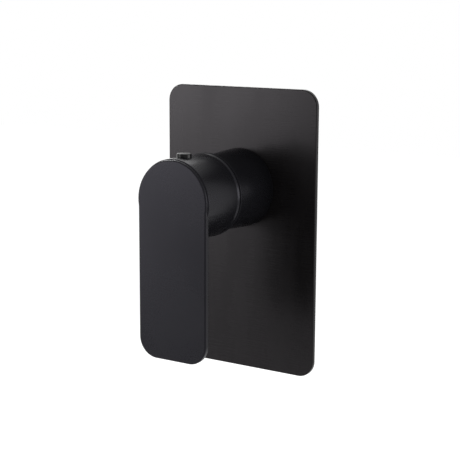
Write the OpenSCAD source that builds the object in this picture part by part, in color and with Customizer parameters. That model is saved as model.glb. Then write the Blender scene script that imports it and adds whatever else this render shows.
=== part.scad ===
// Concealed single-lever shower mixer. Millimetres, +Z up, the wall to the +Y side.
// Origin on the cartridge axis, at the back face of the in-wall body.
// Every module draws with +Z out of the wall, its zero on the finished wall; seat() stands it up.

/* [Faceplate] */
// Width of the faceplate
plate_w = 110; // [104:1:130]
// Height of the faceplate
plate_h = 180; // [176:1:220]
// Corner radius of the faceplate
plate_corner_r = 10.5; // [6:0.5:16]
// Front face of the plate above the finished wall
plate_t = 3; // [2.6:0.1:4]
// Thickness of the plate's front wall
plate_skin = 1.6; // [1.2:0.1:1.9]
// Width of the turned rim around the back of the plate
plate_rim = 1.8; // [1.2:0.1:3]
// Rounding of the plate's front edge
plate_edge_r = 0.6; // [0.4:0.1:1]
// How far the plate's centre sits below the cartridge axis
plate_drop = 26.7; // [22:0.1:30]

/* [Plate gasket] */
// Width of the foam band behind the rim
gasket_w = 7; // [5:0.5:12]
// How far the gasket stands out behind the rim
gasket_proud = 0.4; // [0.2:0.1:0.8]

/* [Sleeve] */
// How much the sleeve's foot is set in from the drum's radius
sleeve_inset = 0.2; // [0:0.1:0.5]
// How much the sleeve's front end is set in from the drum's radius
drum_lap = 2.1; // [2:0.1:2.2]
// Front end of the sleeve above the wall
sleeve_front_z = 38.5; // [38:0.1:38.8]
// Wall of the sleeve's dome
dome_wall = 1.6; // [1.2:0.1:2]
// How much the dome is set in from the sleeve's front radius
dome_step = 0.8; // [0.7:0.1:1]
// Radius of the hole in the dome
dome_hole_r = 14.5; // [14:0.1:15]
// Rounding of the sleeve's front edge
sleeve_edge_r = 0.8; // [0.5:0.1:0.8]

/* [Handle] */
// Width of the handle, which is also the drum's diameter
handle_w = 50.6; // [50.2:0.1:51.8]
// Front face of the handle above the wall
handle_front_z = 76.7; // [75:0.1:82]
// How much each side of the paddle is set in from the drum's radius
paddle_inset = 1; // [0.8:0.1:3]
// How much the paddle's round top is set in from the drum's radius
paddle_top_inset = 0.6; // [0.5:0.1:0.7]
// Bottom of the paddle below the cartridge axis
paddle_drop = 96.4; // [80:0.1:120]
// Thickness of the paddle
paddle_t = 3.6; // [3.2:0.1:5]
// Radius of the paddle's bottom corners
paddle_corner_r = 12.4; // [8:0.1:20]
// Rounding of the paddle's edges
paddle_edge_r = 1.4; // [0.6:0.1:1.5]
// Rounding of the drum's front shoulder
shoulder_r = 0.4; // [0.2:0.1:0.5]
// Back rim of the drum above the wall
drum_back_z = 39.9; // [39.7:0.1:40.6]
// Rounding of the drum's back rim
drum_edge_r = 1.2; // [0.8:0.1:1.4]
// Wall of the drum at its back rim
drum_wall = 2.4; // [2.3:0.1:2.5]
// Wall of the drum around the boss
core_wall = 3.7; // [3:0.1:4.9]
// Depth of the wider mouth inside the drum
drum_mouth_depth = 12; // [11:0.5:16]
// Radius of the boss around the spindle
boss_r = 8.5; // [7.5:0.1:8.7]
// Pivot to the boss's inner end, along the spindle
boss_start = 21; // [20.5:0.1:22]
// Radius of the boss around the grub screw
screw_boss_r = 4.6; // [4:0.1:5]

/* [Index cap] */
// Radius of the recess in the drum's top
index_r = 4.5; // [4.2:0.1:4.7]
// Recess centre above the wall
index_z = 63.6; // [63:0.1:64]
// Depth of the recess below the drum's crest
index_depth = 2.4; // [2:0.1:2.6]
// Gap around the cap
index_gap = 0.05; // [0.05:0.05:0.2]
// How far the cap stands above the crest
index_proud = 2.2; // [1.6:0.1:2.6]
// Rounding of the cap's edges
index_edge_r = 0.4; // [0.2:0.1:0.6]

/* [Lever] */
// Lever pivot above the wall
pivot_z = 30.3; // [30:0.1:30.6]
// Lean of the spindle when closed, half of the lever's stroke
lean = 12.5; // [10:0.5:12.5]
// Side of the square spindle
spindle_w = 8; // [7:0.1:8]
// Spindle length from the pivot
spindle_l = 31; // [30:0.5:32]
// Pivot to the ball that drives the disc carrier
arm_l = 9; // [8.8:0.1:9.2]
// Radius of the lower arm
arm_r = 2.3; // [2:0.1:2.4]
// Radius of the driving ball
ball_r = 2.9; // [2.6:0.1:3]
// Radius of the lever's pivot pin
lever_pin_r = 1.5; // [1.2:0.1:1.8]
// How far each end of the pivot pin sits inside the rotor
pin_inset = 0.6; // [0.4:0.1:1.2]

/* [Grub screw] */
// Grub screw radius
grub_r = 2.5; // [2:0.1:2.5]
// Grub screw length
grub_l = 10; // [6:1:14]
// Pivot to the grub screw, along the spindle
grub_at = 26.5; // [26:0.1:27]
// Key socket across the flats
grub_key = 2.5; // [2:0.5:2.5]
// Depth of the key socket
grub_key_depth = 3; // [2:0.5:4]

/* [Cartridge] */
// Wall of the housing
cart_wall = 2; // [1.8:0.1:2.4]
// Shoulder that the nut presses on, above the wall
cart_shoulder_z = 27; // [26.5:0.1:27.5]
// Radius of the nose as a share of the housing's
nose_share = 0.77; // [0.76:0.005:0.775]
// End of the housing's nose above the wall
nose_z = 36; // [35.5:0.1:36.5]
// Inner shoulder over the rotor's flange, above the wall
rotor_roof_z = 24.5; // [24.4:0.1:25]
// Thickness of the cartridge base's outer flange
base_flange = 2; // [1.5:0.1:3]
// Radius of the two dowels under the base
dowel_r = 2; // [1.5:0.1:2]
// Length of the two dowels under the base
dowel_l = 2.2; // [1.5:0.1:3]

/* [Rotor] */
// Radius of the rotor's neck as a share of the nose's
rotor_share = 0.769; // [0.765:0.001:0.78]
// Room around the rotor's flange
flange_room = 0.5; // [0.2:0.1:1]
// Thickness of the rotor's flange
rotor_flange = 2; // [1.6:0.1:2.2]
// Front end of the rotor above the wall
rotor_z = 37.5; // [37:0.1:38]
// Half length of the lever's slot in the rotor
rotor_slot = 6.3; // [6:0.1:6.5]
// Width of the rotor's stop lug
lug_w = 3.5; // [3:0.1:4]
// How much the rotor's stop lug ends inside the nose's radius
lug_inset = 1.3; // [1.2:0.1:1.6]
// Rail width under the rotor
rail_w = 2; // [1.5:0.1:2.4]
// Rail height under the rotor
rail_h = 2; // [1.5:0.1:2.2]
// Rail centre from the axis
rail_x = 8; // [7.5:0.1:8.5]
// Rail length
rail_l = 16; // [12:1:18]

/* [Stop ring] */
// Height of the stop ring
stop_h = 2.2; // [2:0.1:2.6]
// Turn to each side from the middle
turn = 50; // [40:1:55]

/* [Discs] */
// Thickness of the fixed disc
fixed_disc_t = 4; // [3:0.1:4.2]
// Thickness of the moving disc
moving_disc_t = 3; // [2.5:0.1:3.2]
// Room around the moving disc at the end of its stroke
disc_room = 1.15; // [1:0.05:1.6]
// How much the carrier is larger in radius than the moving disc
carrier_lip = 0.3; // [0.1:0.1:0.5]
// Thickness of the disc carrier
carrier_t = 5.1; // [4.8:0.1:5.2]
// Length of the carrier's pocket for the ball
pocket_l = 9; // [7:0.5:10]
// Radius of the mixing chamber in the moving disc
chamber_r = 5.2; // [4.8:0.1:5.4]
// Depth of the mixing chamber
chamber_depth = 1.6; // [1:0.1:2]
// Mixing chamber centre from the moving disc's centre
chamber_y = 0.95; // [0.8:0.05:1.1]
// Inlet hole radius in the fixed disc
disc_inlet_r = 2.6; // [2.2:0.1:2.8]
// Outlet hole radius in the fixed disc
disc_outlet_r = 3.6; // [3:0.1:3.8]

/* [Cartridge nut] */
// Height of the nut's threaded part
nut_thread_h = 4; // [3.6:0.1:4.4]
// How much the nut's flange is set in from the neck
nut_step = 0.4; // [0.2:0.1:1]
// Height of the nut's flange
nut_flange_h = 2.6; // [2:0.1:3]
// Width of the spanner notches
nut_notch_w = 4; // [3:0.5:5]
// Depth of the spanner notches
nut_notch_depth = 3.4; // [2:0.1:4]
// Height left under the spanner notches
nut_notch_floor = 0.8; // [0.6:0.1:1.2]

/* [Body] */
// Depth of the body's back face behind the finished wall
in_wall_depth = 27; // [27:1:36]
// Room between the neck and the sleeve's wall
neck_room = 1; // [0.9:0.05:1.1]
// Wall of the neck around the cavity
neck_wall = 3; // [2.8:0.1:3.2]
// Front end of the neck above the wall
neck_z = 31; // [30.6:0.1:31.4]
// Cavity floor above the wall
cavity_floor_z = 1; // [0.5:0.1:1.2]
// Outer radius of the barrel in the wall
barrel_r = 22; // [21.5:0.5:26]
// Side of the square foot
foot_w = 64; // [60:1:70]
// Corner radius of the foot
foot_corner_r = 8; // [5:0.5:10]
// Thickness of the foot
foot_t = 4.5; // [3.5:0.5:6]
// Foot hole centres from the foot's edges
foot_inset = 6; // [5.5:0.5:8]
// Foot hole radius
foot_hole_r = 2.75; // [2.2:0.05:3.2]

/* [Ports] */
// Port axis behind the finished wall
port_depth = 14; // [13.5:0.5:16]
// Outer radius of the ports
port_r = 12.5; // [11.8:0.1:12.8]
// Radius of the collar at each port's mouth
port_collar_r = 13; // [12.5:0.1:13]
// Length of the collar
port_collar_l = 3; // [2:0.5:5]
// Radius of the ports' threaded holes
port_thread_r = 9.3; // [9.2:0.05:9.5]
// Length of the ports' threaded holes
port_thread_l = 13; // [10:1:14]
// Inlet mouths from the axis
inlet_reach = 36; // [36:1:37]
// Outlet mouth above the axis
outlet_reach = 42; // [40:1:50]
// Water way radius behind the inlets' threads
inlet_way_r = 6; // [5:0.1:6.2]
// Water way radius below the outlet's thread
outlet_way_r = 5; // [4.5:0.1:5.2]
// Radius of the holes in the cavity floor
floor_hole_r = 4.2; // [3.8:0.1:4.4]

/* [Water ways] */
// Floor inlet centres from the cavity's edge, across
floor_inlet_inset = 9.4; // [9.2:0.1:9.6]
// Floor inlet centres below the axis
floor_inlet_drop = 5; // [4.6:0.1:5.4]
// Floor outlet centre from the cavity's edge, up
floor_outlet_inset = 10.1; // [9.8:0.1:10.3]
// Dowel centres from the cavity's edge, across
dowel_inset = 5.1; // [4.8:0.1:5.4]
// Dowel centres above the axis
dowel_rise = 6; // [5:0.1:7]
// Disc inlet centres from the axis, across
disc_inlet_x = 5.4; // [5.2:0.1:5.6]
// Disc inlet centres below the axis
disc_inlet_drop = 5.2; // [5:0.1:5.4]
// Disc outlet centre above the axis
disc_outlet_rise = 4.6; // [4.2:0.1:4.8]
// Key centres from the fixed disc's edge, across
key_inset = 3.6; // [3.2:0.1:3.8]
// Key centres above the axis
key_rise = 4; // [3:0.1:5]
// Carrier key centres from the moving disc's edge
carrier_key_inset = 2.7; // [2:0.1:3]
// Radius of the small keys
key_r = 1.2; // [1:0.1:1.4]
// Length of the small keys
key_l = 1.5; // [1:0.1:1.8]
// Inner end of the inlets' water ways, from the axis
way_end = 6.5; // [6.2:0.1:7]
// Lower end of the outlet's water way, above the axis
outlet_way_rise = 3.3; // [3:0.1:3.6]
// How far the floor holes run past the port axis
way_overrun = 1.7; // [1:0.1:3]

/* [Seals] */
// Section radius of the sleeve's seal
sleeve_seal_r = 0.7; // [0.6:0.05:0.8]
// Section radius of the neck's seal
neck_seal_r = 0.75; // [0.6:0.05:0.8]
// Section radius of the small seals
small_seal_r = 0.7; // [0.6:0.05:0.75]

/* [Fits] */
// Radial clearance of running fits
run_fit = 0.05; // [0.03:0.01:0.08]
// Clearance around loosely fitted pieces
loose_fit = 0.2; // [0.15:0.05:0.3]

/* [Hidden] */

eps = 0.01;
round_fn = 120;
mid_fn = 72;
small_fn = 40;
section_fn = 20;

drum_r = handle_w / 2;
drum_mouth_r = drum_r - drum_wall;
drum_core_r = drum_r - core_wall;
sleeve_base_r = drum_r - sleeve_inset;
sleeve_front_r = drum_r - drum_lap;
neck_r = sleeve_front_r - dome_wall - neck_room;
cavity_r = neck_r - neck_wall;
cart_r = cavity_r - loose_fit;
cart_bore_r = cart_r - cart_wall;
nose_r = cart_r * nose_share;
rotor_r = nose_r * rotor_share;
lug_r = nose_r - lug_inset;
lever_pin_l = 2 * (rotor_r - pin_inset);
rotor_flange_r = cart_bore_r - flange_room;
fixed_disc_r = cart_bore_r - loose_fit;
nut_r = (cavity_r + neck_r) / 2;
nut_flange_r = neck_r - nut_step;
paddle_back_z = handle_front_z - paddle_t;
paddle_side_x = drum_r - paddle_inset;
shoulder_z = (paddle_back_z + handle_front_z) / 2;
plate_bore_r = neck_r + 3 * loose_fit;
sleeve_bore_r = neck_r + 3.5 * loose_fit;
sleeve_body_r = sleeve_front_r - dome_wall - loose_fit;
collar_z = 9;
collar_h = 8;
dome_r = norm([sleeve_front_z - pivot_z, sleeve_front_r - dome_step]);
dome_clear_r = dome_r + 3 * loose_fit;
sleeve_seal_ring_r = (sleeve_bore_r + sleeve_base_r) / 2;
neck_groove_r = plate_bore_r - 2 * neck_seal_r - run_fit;
plate_back_z = plate_t - plate_skin;
neck_seal_z = (plate_t + plate_back_z) / 2;

base_top_z = rotor_roof_z - loose_fit - rotor_flange - 0.3 - carrier_t - moving_disc_t
             - fixed_disc_t - run_fit;
fixed_top_z = base_top_z + fixed_disc_t;
moving_z = fixed_top_z + run_fit;
carrier_z = moving_z + moving_disc_t;
carrier_top_z = carrier_z + carrier_t;
flange_z = rotor_roof_z - loose_fit - rotor_flange;
rest_shift = arm_l * sin(lean);
moving_disc_r = cart_bore_r - rest_shift - disc_room;
carrier_r = moving_disc_r + carrier_lip;
foot_pitch = foot_w - 2 * foot_inset;
ball_rest_z = pivot_z - arm_l * cos(lean);
pocket_z = pivot_z - arm_l - ball_r - loose_fit;

disc_inlets = [[-disc_inlet_x, -disc_inlet_drop], [disc_inlet_x, -disc_inlet_drop]];
disc_outlet = [0, disc_outlet_rise];
floor_inlet_x = cavity_r - floor_inlet_inset;
floor_inlets = [[-floor_inlet_x, -floor_inlet_drop], [floor_inlet_x, -floor_inlet_drop]];
floor_outlet = [0, cavity_r - floor_outlet_inset];
dowel_x = cavity_r - dowel_inset;
dowels = [[-dowel_x, dowel_rise], [dowel_x, dowel_rise]];
key_x = fixed_disc_r - key_inset;
keys = [[-key_x, key_rise], [key_x, key_rise]];
carrier_key_x = moving_disc_r - carrier_key_inset;
carrier_keys = [[-carrier_key_x, 0], [carrier_key_x, 0]];
port_thread_start = inlet_reach - port_thread_l;
notch_count = 6;

// Stands a piece up: its +Z leaves the wall, towards -Y
module seat() {
    rotate([90, 0, 0]) translate([0, 0, in_wall_depth]) children();
}

// Lever frame: origin on the pivot, +Z along the spindle
module at_lever() {
    translate([0, 0, pivot_z]) rotate([lean, 0, 0]) children();
}

module tube(r_out, r_in, h, z = 0) {
    translate([0, 0, z]) difference() {
        cylinder(r = r_out, h = h, $fn = round_fn);
        translate([0, 0, -eps]) cylinder(r = r_in, h = h + 2 * eps, $fn = round_fn);
    }
}

module ring(ring_r, section_r, z) {
    translate([0, 0, z]) rotate_extrude($fn = mid_fn)
        translate([ring_r, 0]) circle(r = section_r, $fn = section_fn);
}

module rounded_rect(w, h, r) {
    square([w - 2 * r, h], center = true);
    square([w, h - 2 * r], center = true);
    for (x = [-1, 1], y = [-1, 1])
        translate([x * (w / 2 - r), y * (h / 2 - r)]) circle(r = r, $fn = mid_fn);
}

// Flat slab with a rounded front edge
module soft_slab(w, h, r, t, e) {
    linear_extrude(t - e) rounded_rect(w, h, r);
    linear_extrude(t) rounded_rect(w - 2 * e, h - 2 * e, r - e);
    for (s = [-1, 1]) {
        translate([s * (w / 2 - e), -(h / 2 - r), t - e]) rotate([-90, 0, 0])
            cylinder(r = e, h = h - 2 * r, $fn = section_fn);
        translate([-(w / 2 - r), s * (h / 2 - e), t - e]) rotate([0, 90, 0])
            cylinder(r = e, h = w - 2 * r, $fn = section_fn);
    }
    for (x = [-1, 1], y = [-1, 1])
        translate([x * (w / 2 - r), y * (h / 2 - r), 0]) ring_edge(r, t - e, e);
}

module ring_edge(r, z, e) {
    translate([0, 0, z]) rotate_extrude($fn = mid_fn)
        translate([r - e, 0]) circle(r = e, $fn = section_fn);
}

// Faceplate
module faceplate() color([0.05, 0.05, 0.055]) {
    seat() difference() {
        translate([0, -plate_drop, gasket_proud])
            soft_slab(plate_w, plate_h, plate_corner_r, plate_t - gasket_proud, plate_edge_r);
        translate([0, -plate_drop, -eps]) linear_extrude(plate_back_z + eps)
            rounded_rect(plate_w - 2 * plate_rim, plate_h - 2 * plate_rim,
                         plate_corner_r - plate_rim);
        translate([0, 0, -eps]) cylinder(r = plate_bore_r, h = plate_t + 1, $fn = round_fn);
    }
}

module plate_gasket() color([0.12, 0.12, 0.12]) {
    out_w = plate_w - 2 * plate_rim - 2 * loose_fit;
    out_h = plate_h - 2 * plate_rim - 2 * loose_fit;
    out_r = plate_corner_r - plate_rim - loose_fit;
    seat() translate([0, -plate_drop, 0]) linear_extrude(plate_back_z) difference() {
        rounded_rect(out_w, out_h, out_r);
        square([out_w - 2 * gasket_w, out_h - 2 * gasket_w], center = true);
    }
}

// Sleeve
module sleeve_outline() {
    edge_z = sleeve_front_z - sleeve_edge_r;
    polygon([[0, plate_t], [sleeve_base_r, plate_t], [sleeve_front_r, edge_z], [0, edge_z]]);
    square([sleeve_front_r - sleeve_edge_r, sleeve_front_z]);
    translate([sleeve_front_r - sleeve_edge_r, edge_z])
        circle(r = sleeve_edge_r, $fn = section_fn);
    intersection() {
        translate([0, pivot_z]) circle(r = dome_r, $fn = round_fn);
        translate([0, edge_z]) square([dome_r, dome_r * 2]);
    }
}

module sleeve() color([0.05, 0.05, 0.055]) {
    seat() rotate_extrude($fn = round_fn) difference() {
        sleeve_outline();
        square([sleeve_bore_r, collar_z]);
        square([neck_r + run_fit, collar_z + collar_h]);
        translate([0, collar_z + collar_h])
            square([sleeve_body_r, pivot_z + 1 - collar_z - collar_h]);
        intersection() {
            translate([0, pivot_z]) circle(r = dome_r - dome_wall, $fn = round_fn);
            translate([0, pivot_z]) square([sleeve_body_r, dome_r * 2]);
        }
        square([dome_hole_r, dome_r * 3]);
        square([sleeve_front_r * 2, plate_t]);
        translate([sleeve_seal_ring_r - sleeve_seal_r - run_fit, plate_t - 1])
            square([2 * (sleeve_seal_r + run_fit), 1 + 2 * sleeve_seal_r + run_fit]);
    }
}

module sleeve_seal() color([0.1, 0.1, 0.1]) {
    seat() ring(sleeve_seal_ring_r, sleeve_seal_r, plate_t + sleeve_seal_r);
}

module neck_seal() color([0.1, 0.1, 0.1]) {
    seat() ring(plate_bore_r - run_fit - neck_seal_r, neck_seal_r, neck_seal_z);
}

// In-wall body
module body_port(reach) {
    cylinder(r = port_r, h = reach, $fn = mid_fn);
    translate([0, 0, reach - port_collar_l])
        cylinder(r = port_collar_r, h = port_collar_l, $fn = mid_fn);
}

module body_mass() {
    translate([0, 0, -in_wall_depth])
        cylinder(r = barrel_r, h = in_wall_depth - 0.5, $fn = round_fn);
    translate([0, 0, -1]) cylinder(r = neck_r, h = neck_z + 1, $fn = round_fn);
    translate([0, 0, -in_wall_depth]) linear_extrude(foot_t)
        rounded_rect(foot_w, foot_w, foot_corner_r);
    translate([0, 0, -port_depth]) {
        rotate([0, 90, 0]) body_port(inlet_reach);
        rotate([0, -90, 0]) body_port(inlet_reach);
        rotate([-90, 0, 0]) body_port(outlet_reach);
    }
}

module valve_body() color([0.72, 0.58, 0.3]) {
    seat() difference() {
        body_mass();
        translate([0, 0, cavity_floor_z])
            cylinder(r = cavity_r, h = neck_z, $fn = round_fn);
        translate([0, 0, cart_shoulder_z - 0.1])
            cylinder(r = nut_r + run_fit, h = neck_z, $fn = round_fn);
        tube(neck_r + 1, neck_groove_r, 2 * (neck_seal_r + run_fit),
             neck_seal_z - neck_seal_r - run_fit);
        for (s = [-1, 1]) translate([0, 0, -port_depth]) rotate([0, s * 90, 0]) {
            translate([0, 0, port_thread_start])
                cylinder(r = port_thread_r, h = port_thread_l + 1, $fn = mid_fn);
            translate([0, 0, way_end])
                cylinder(r = inlet_way_r, h = inlet_reach - way_end, $fn = mid_fn);
        }
        translate([0, 0, -port_depth]) rotate([-90, 0, 0]) {
            translate([0, 0, outlet_reach - port_thread_l])
                cylinder(r = port_thread_r, h = port_thread_l + 1, $fn = mid_fn);
            translate([0, 0, outlet_way_rise])
                cylinder(r = outlet_way_r, h = outlet_reach - outlet_way_rise, $fn = mid_fn);
        }
        for (p = concat(floor_inlets, [floor_outlet]))
            translate([p[0], p[1], -port_depth - way_overrun]) rotate([0, 0, 30])
                cylinder(r = floor_hole_r, h = port_depth + way_overrun + cavity_floor_z + 1,
                         $fn = small_fn);
        for (p = dowels) translate([p[0], p[1], cavity_floor_z - dowel_l - loose_fit])
            cylinder(r = dowel_r + run_fit, h = dowel_l + 1, $fn = small_fn);
        for (x = [-1, 1], y = [-1, 1])
            translate([x * foot_pitch / 2, y * foot_pitch / 2, -in_wall_depth - 1])
                cylinder(r = foot_hole_r, h = foot_t + 2, $fn = small_fn);
    }
}

// Cartridge
module cartridge_nut() color([0.75, 0.62, 0.35]) {
    seat() difference() {
        union() {
            translate([0, 0, cart_shoulder_z])
                cylinder(r = nut_r, h = nut_thread_h + eps, $fn = round_fn);
            translate([0, 0, neck_z])
                cylinder(r = nut_flange_r, h = nut_flange_h, $fn = round_fn);
        }
        translate([0, 0, cart_shoulder_z - 1])
            cylinder(r = nose_r + loose_fit, h = neck_z, $fn = round_fn);
        for (i = [0 : notch_count - 1]) rotate([0, 0, i * 360 / notch_count])
            translate([nut_flange_r - nut_notch_depth, -nut_notch_w / 2, neck_z + nut_notch_floor])
                cube([nut_flange_r, nut_notch_w, nut_flange_h]);
    }
}

module cartridge_housing() color([0.85, 0.85, 0.83]) {
    seat() difference() {
        union() {
            translate([0, 0, cavity_floor_z + base_flange])
                cylinder(r = cart_r, h = cart_shoulder_z - cavity_floor_z - base_flange,
                         $fn = round_fn);
            translate([0, 0, cart_shoulder_z - 1])
                cylinder(r = nose_r, h = nose_z - cart_shoulder_z + 1, $fn = round_fn);
        }
        translate([0, 0, 0])
            cylinder(r = cart_bore_r, h = rotor_roof_z, $fn = round_fn);
        cylinder(r = rotor_r + run_fit, h = nose_z + 1, $fn = round_fn);
    }
}

module base_ways() {
    split_z = (cavity_floor_z + base_top_z) / 2;
    for (p = concat(floor_inlets, [floor_outlet]))
        translate([p[0], p[1], 0])
            cylinder(r = floor_hole_r - loose_fit, h = split_z, $fn = small_fn);
    for (p = disc_inlets)
        translate([p[0], p[1], split_z - eps])
            cylinder(r = disc_inlet_r, h = base_top_z, $fn = small_fn);
    translate([disc_outlet[0], disc_outlet[1], split_z - eps])
        cylinder(r = disc_outlet_r, h = base_top_z, $fn = small_fn);
}

module seal_groove(r) {
    g = small_seal_r + run_fit;
    tube(r + g, r - g, 2 * g + eps);
}

module cartridge_base() color([0.2, 0.2, 0.2]) {
    seat() difference() {
        union() {
            translate([0, 0, cavity_floor_z])
                cylinder(r = cart_r, h = base_flange, $fn = round_fn);
            translate([0, 0, cavity_floor_z])
                cylinder(r = cart_bore_r - 0.1, h = base_top_z - cavity_floor_z,
                         $fn = round_fn);
            for (p = dowels) translate([p[0], p[1], cavity_floor_z - dowel_l])
                cylinder(r = dowel_r, h = dowel_l + 1, $fn = small_fn);
            for (p = keys) translate([p[0], p[1], base_top_z - 1])
                cylinder(r = key_r, h = key_l + 1, $fn = small_fn);
        }
        base_ways();
        for (p = concat(floor_inlets, [floor_outlet]))
            translate([p[0], p[1], cavity_floor_z - eps]) seal_groove(floor_hole_r + 0.8);
        for (p = disc_inlets)
            translate([p[0], p[1], base_top_z - 2 * (small_seal_r + run_fit)])
                seal_groove(disc_inlet_r + 1);
        translate([disc_outlet[0], disc_outlet[1], base_top_z - 2 * (small_seal_r + run_fit)])
            seal_groove(disc_outlet_r + 1);
    }
}

module base_seals() color([0.1, 0.1, 0.1]) {
    seat() for (p = concat(floor_inlets, [floor_outlet]))
        translate([p[0], p[1], 0])
            ring(floor_hole_r + 0.8, small_seal_r, cavity_floor_z + small_seal_r);
}

module disc_seals() color([0.1, 0.1, 0.1]) {
    seat() {
        for (p = disc_inlets) translate([p[0], p[1], 0])
            ring(disc_inlet_r + 1, small_seal_r, base_top_z - small_seal_r);
        translate([disc_outlet[0], disc_outlet[1], 0])
            ring(disc_outlet_r + 1, small_seal_r, base_top_z - small_seal_r);
    }
}

module fixed_disc() color([0.93, 0.92, 0.88]) {
    seat() difference() {
        translate([0, 0, base_top_z])
            cylinder(r = fixed_disc_r, h = fixed_disc_t, $fn = round_fn);
        for (p = disc_inlets) translate([p[0], p[1], 0])
            cylinder(r = disc_inlet_r, h = neck_z, $fn = small_fn);
        translate([disc_outlet[0], disc_outlet[1], 0])
            cylinder(r = disc_outlet_r, h = neck_z, $fn = small_fn);
        for (p = keys) translate([p[0], p[1], 0])
            cylinder(r = key_r + run_fit, h = base_top_z + key_l + loose_fit, $fn = small_fn);
    }
}

module moving_disc() color([0.93, 0.92, 0.88]) {
    seat() translate([0, rest_shift, moving_z]) difference() {
        cylinder(r = moving_disc_r, h = moving_disc_t, $fn = round_fn);
        translate([0, chamber_y, -1])
            cylinder(r = chamber_r, h = 1 + chamber_depth, $fn = mid_fn);
        for (p = carrier_keys)
            translate([p[0], p[1], moving_disc_t - key_r - loose_fit])
                cylinder(r = key_r + run_fit, h = moving_disc_t, $fn = small_fn);
    }
}

module disc_carrier() color([0.9, 0.9, 0.88]) {
    pocket_w = 2 * (ball_r + run_fit + 0.03);
    groove_w = rail_w + 2 * run_fit * 2;
    seat() translate([0, rest_shift, carrier_z]) difference() {
        union() {
            cylinder(r = carrier_r, h = carrier_t, $fn = round_fn);
            for (p = carrier_keys) translate([p[0], p[1], -key_r])
                cylinder(r = key_r, h = key_r + 1, $fn = small_fn);
        }
        translate([-pocket_l / 2, -pocket_w / 2, pocket_z - carrier_z])
            cube([pocket_l, pocket_w, carrier_t]);
        for (s = [-1, 1])
            translate([s * rail_x - groove_w / 2, -carrier_r - 1,
                       flange_z - carrier_z - rail_h - loose_fit])
                cube([groove_w, 2 * carrier_r + 2, carrier_t]);
    }
}

module rotor() color([0.9, 0.9, 0.88]) {
    seat() difference() {
        union() {
            translate([0, 0, flange_z])
                cylinder(r = rotor_flange_r, h = rotor_flange, $fn = round_fn);
            translate([0, 0, flange_z])
                cylinder(r = rotor_r, h = rotor_z - flange_z, $fn = round_fn);
            translate([-lug_w / 2, rotor_slot + 1, nose_z + 0.2])
                cube([lug_w, lug_r - rotor_slot - 1, rotor_z - nose_z - 0.2]);
            for (s = [-1, 1])
                translate([s * rail_x - rail_w / 2, -rail_l / 2, flange_z - rail_h])
                    cube([rail_w, rail_l, rail_h + 1]);
        }
        translate([-spindle_w / 2 - 0.15, -rotor_slot, flange_z - 1])
            cube([spindle_w + 0.3, 2 * rotor_slot, rotor_z]);
        translate([-rotor_flange_r, 0, pivot_z]) rotate([0, 90, 0])
            cylinder(r = lever_pin_r + 0.01, h = 2 * rotor_flange_r, $fn = small_fn);
    }
}

module lever_pin() color([0.75, 0.75, 0.77]) {
    seat() translate([-lever_pin_l / 2, 0, pivot_z]) rotate([0, 90, 0])
        cylinder(r = lever_pin_r, h = lever_pin_l, $fn = small_fn);
}

module stop_ring() color([0.75, 0.12, 0.1]) {
    sweep = 2 * (turn + asin(lug_w / 2 / (rotor_r + loose_fit)) + 1);
    seat() difference() {
        tube(nose_r, rotor_r + loose_fit, stop_h, nose_z);
        rotate([0, 0, 90 - sweep / 2]) translate([0, 0, nose_z - 1])
            rotate_extrude(angle = sweep, $fn = round_fn)
                translate([rotor_r - 1, 0]) square([lug_r + loose_fit - rotor_r + 1, stop_h + 2]);
    }
}

// Lever, drawn along its own leaning axis
module lever() color([0.78, 0.64, 0.36]) {
    seat() at_lever() difference() {
        union() {
            translate([-spindle_w / 2, -spindle_w / 2, -spindle_w / 2])
                cube([spindle_w, spindle_w, spindle_l + spindle_w / 2]);
            translate([0, 0, -arm_l])
                cylinder(r = arm_r, h = arm_l, $fn = small_fn);
            translate([0, 0, -arm_l]) sphere(r = ball_r, $fn = small_fn);
        }
        translate([-spindle_w, 0, 0]) rotate([0, 90, 0])
            cylinder(r = lever_pin_r + run_fit, h = 2 * spindle_w, $fn = small_fn);
    }
}

module grub_axis() {
    at_lever() translate([0, 0, grub_at]) rotate([-90, 0, 0]) children();
}

module grub_screw() color([0.3, 0.3, 0.32]) {
    seat() grub_axis() translate([0, 0, spindle_w / 2]) difference() {
        cylinder(r = grub_r, h = grub_l, $fn = small_fn);
        translate([0, 0, grub_l - grub_key_depth])
            cylinder(r = grub_key / sqrt(3), h = grub_l, $fn = 6);
    }
}

// Disc with rounded edges
module soft_disc(r, t, e) {
    rotate_extrude($fn = round_fn) {
        square([r - e, t]);
        translate([0, e]) square([r, t - 2 * e]);
        for (z = [e, t - e]) translate([r - e, z]) circle(r = e, $fn = section_fn);
    }
}

// Flat bar along +Y with rounded long edges
module soft_bar(w, l, t, e) {
    translate([0, l, t / 2]) rotate([90, 0, 0]) linear_extrude(l) rounded_rect(w, t, e);
}

module paddle() {
    corner_x = paddle_side_x - paddle_corner_r;
    corner_y = paddle_corner_r - paddle_drop;
    translate([0, 0, paddle_back_z]) {
        soft_disc(drum_r - paddle_top_inset, paddle_t, paddle_edge_r);
        translate([0, corner_y, 0])
            soft_bar(2 * paddle_side_x, -corner_y, paddle_t, paddle_edge_r);
        for (s = [-1, 1]) translate([s * corner_x, corner_y, 0])
            soft_disc(paddle_corner_r, paddle_t, paddle_edge_r);
        translate([-corner_x, corner_y, 0]) rotate([0, 0, -90])
            soft_bar(2 * paddle_corner_r, 2 * corner_x, paddle_t, paddle_edge_r);
    }
}

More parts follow.
